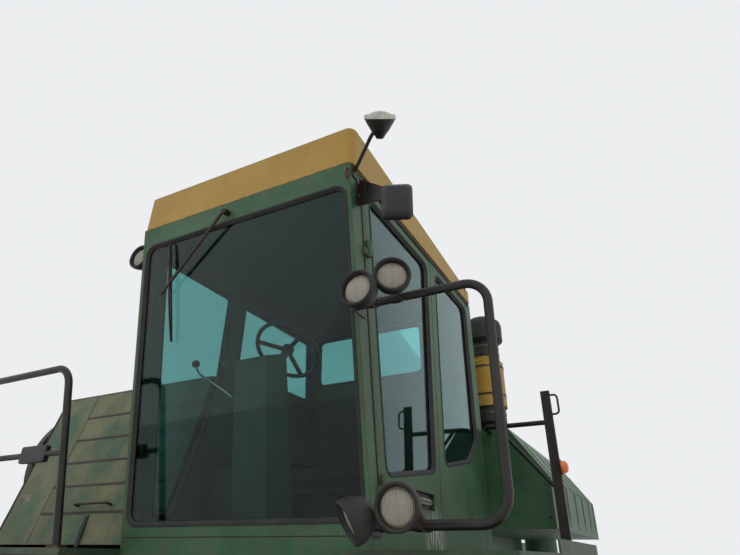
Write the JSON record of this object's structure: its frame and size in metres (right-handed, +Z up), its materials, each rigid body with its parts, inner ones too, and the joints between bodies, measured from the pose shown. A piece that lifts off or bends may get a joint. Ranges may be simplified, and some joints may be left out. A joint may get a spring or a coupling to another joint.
{
  "type": "combine harvester",
  "caption": "Self-propelled grain combine harvester with a side-set cab, engine bay, grain tank, folding unloading auger and lifting feeder house, parked without a header.",
  "frame": {"origin": "centre of the bounding box, on the ground", "axes": "+X to the machine's left, +Y to its rear, +Z up; the front faces -Y"},
  "size_m": [4, 7.7, 3.804],
  "materials": {
    "green_paint": "chalky aged gloss",
    "yellow_paint": "aged satin",
    "black_paint": "satin",
    "frame_paint": "satin",
    "tinted_glass": "tinted",
    "lamp_glass": "ribbed",
    "amber_lens": "gloss",
    "black_rubber": "matt",
    "tyre": "matt",
    "black_vinyl": "satin vinyl",
    "black_plastic": "matt",
    "cast_iron": "rough",
    "worn_steel": "worn",
    "wheel_yellow": "aged gloss"
  },
  "bodies": {
    "machine": {"cab_shell": "green_paint", "cab_roof": "yellow_paint", "windshield": "tinted_glass", "cab_glass": "tinted_glass", "steering_pedestal": "green_paint", "control_console": "black_plastic", "seat_cushions": "black_vinyl", "seat_base": "black_paint", "decks": "frame_paint", "deck_beams": "frame_paint", "ladder": "frame_paint", "hand_rails": "black_paint", "engine_cover": "green_paint", "engine_block": "cast_iron", "screen_ring": "green_paint", "exhaust_stack": "worn_steel", "threshing_body": "green_paint", "grain_tank": "green_paint", "cleaning_shoe": "green_paint", "elevators": "green_paint", "side_shields": "green_paint", "front_axle": "green_paint", "rear_axle": "green_paint", "straw_hood": "green_paint", "auger_stand": "green_paint", "air_cleaner": "yellow_paint", "cleaner_rubber": "black_rubber", "work_lamps": "black_rubber", "lamp_lenses": "lamp_glass", "amber_lamp": "amber_lens", "mirror": "black_plastic", "wiper": "black_paint"},
    "door": {"cab_door": "green_paint", "door_glass": "tinted_glass"},
    "steering_wheel": {"steering_wheel": "black_plastic"},
    "screen": {"rotary_screen": "black_paint"},
    "feeder": {"feeder_house": "green_paint", "feeder_chain": "worn_steel"},
    "lift_barrels": {"lift_barrels": "green_paint"},
    "lift_rams": {"lift_rams": "worn_steel"},
    "drive_wheel_left": {"drive_rim_left": "wheel_yellow", "drive_tyre_left": "tyre"},
    "drive_wheel_right": {"drive_rim_right": "wheel_yellow", "drive_tyre_right": "tyre"},
    "knuckle_left": {"knuckle_left": "green_paint"},
    "knuckle_right": {"knuckle_right": "green_paint"},
    "rear_wheel_left": {"rear_rim_left": "wheel_yellow", "rear_tyre_left": "tyre"},
    "rear_wheel_right": {"rear_rim_right": "wheel_yellow", "rear_tyre_right": "tyre"},
    "tie_rod": {"tie_rod": "frame_paint"},
    "spreader_left": {"spreader_left": "green_paint"},
    "spreader_right": {"spreader_right": "green_paint"},
    "auger": {"unloading_auger": "green_paint"}
  },
  "joints": [
    {"name": "door_swing", "type": "hinge", "parent": "machine", "child": "door", "pos_m": [1.3693, -2.5041, 1.915], "axis": [0, 0.1526, -0.9883], "range_deg": [0, 80]},
    {"name": "steering_wheel_turn", "type": "hinge", "parent": "machine", "child": "steering_wheel", "pos_m": [0.572, -2.235, 2.89], "axis": [0, 0.5736, 0.8192], "continuous": true},
    {"name": "screen_spin", "type": "hinge", "parent": "machine", "child": "screen", "pos_m": [-1.7, -1.77, 2.33], "axis": [1, 0, 0], "continuous": true},
    {"name": "feeder_lift", "type": "hinge", "parent": "machine", "child": "feeder", "pos_m": [0, -1.95, 1.33], "axis": [-1, 0, 0], "range_deg": [-6, 18]},
    {"name": "lift_barrel_tilt", "type": "hinge", "parent": "machine", "child": "lift_barrels", "pos_m": [0, -1.64, 0.7], "axis": [-1, 0, 0], "range_deg": [-4.59, 13.72]},
    {"name": "lift_ram_slide", "type": "slide", "parent": "lift_barrels", "child": "lift_rams", "axis": [0, -0.9981, -0.0619], "range_m": [-0.06543, 0.1957]},
    {"name": "drive_wheel_left_spin", "type": "hinge", "parent": "machine", "child": "drive_wheel_left", "pos_m": [1.42, -1.45, 0.86], "axis": [1, 0, 0], "continuous": true},
    {"name": "drive_wheel_right_spin", "type": "hinge", "parent": "machine", "child": "drive_wheel_right", "pos_m": [-1.42, -1.45, 0.86], "axis": [1, 0, 0], "continuous": true},
    {"name": "steer_left", "type": "hinge", "parent": "machine", "child": "knuckle_left", "pos_m": [0.98, 2, 0.7], "axis": [0, 0, 1], "range_deg": [-25, 25]},
    {"name": "steer_right", "type": "hinge", "parent": "machine", "child": "knuckle_right", "pos_m": [-0.98, 2, 0.7], "axis": [0, 0, 1], "range_deg": [-25, 25]},
    {"name": "rear_wheel_left_spin", "type": "hinge", "parent": "knuckle_left", "child": "rear_wheel_left", "pos_m": [1.2, 2, 0.555], "axis": [1, 0, 0], "continuous": true},
    {"name": "rear_wheel_right_spin", "type": "hinge", "parent": "knuckle_right", "child": "rear_wheel_right", "pos_m": [-1.2, 2, 0.555], "axis": [1, 0, 0], "continuous": true},
    {"name": "tie_rod_turn", "type": "hinge", "parent": "knuckle_left", "child": "tie_rod", "pos_m": [0.98, 2.22, 0.5], "axis": [0, 0, 1], "range_deg": [-25, 25]},
    {"name": "spreader_left_spin", "type": "hinge", "parent": "machine", "child": "spreader_left", "pos_m": [0.35, 3.33, 1], "axis": [0, 0, 1], "continuous": true},
    {"name": "spreader_right_spin", "type": "hinge", "parent": "machine", "child": "spreader_right", "pos_m": [-0.35, 3.33, 1], "axis": [0, 0, 1], "continuous": true},
    {"name": "auger_swing", "type": "hinge", "parent": "machine", "child": "auger", "pos_m": [1.18, 1.6, 2.25], "axis": [0, 0, -1], "range_deg": [0, 95]}
  ],
  "couplings": [
    {"joint": "lift_barrel_tilt", "follows": "feeder_lift", "ratio": 0.76132},
    {"joint": "lift_ram_slide", "follows": "feeder_lift", "m_per_rad": 0.62199},
    {"joint": "steer_right", "follows": "steer_left", "ratio": 1},
    {"joint": "tie_rod_turn", "follows": "steer_left", "ratio": -1}
  ]
}
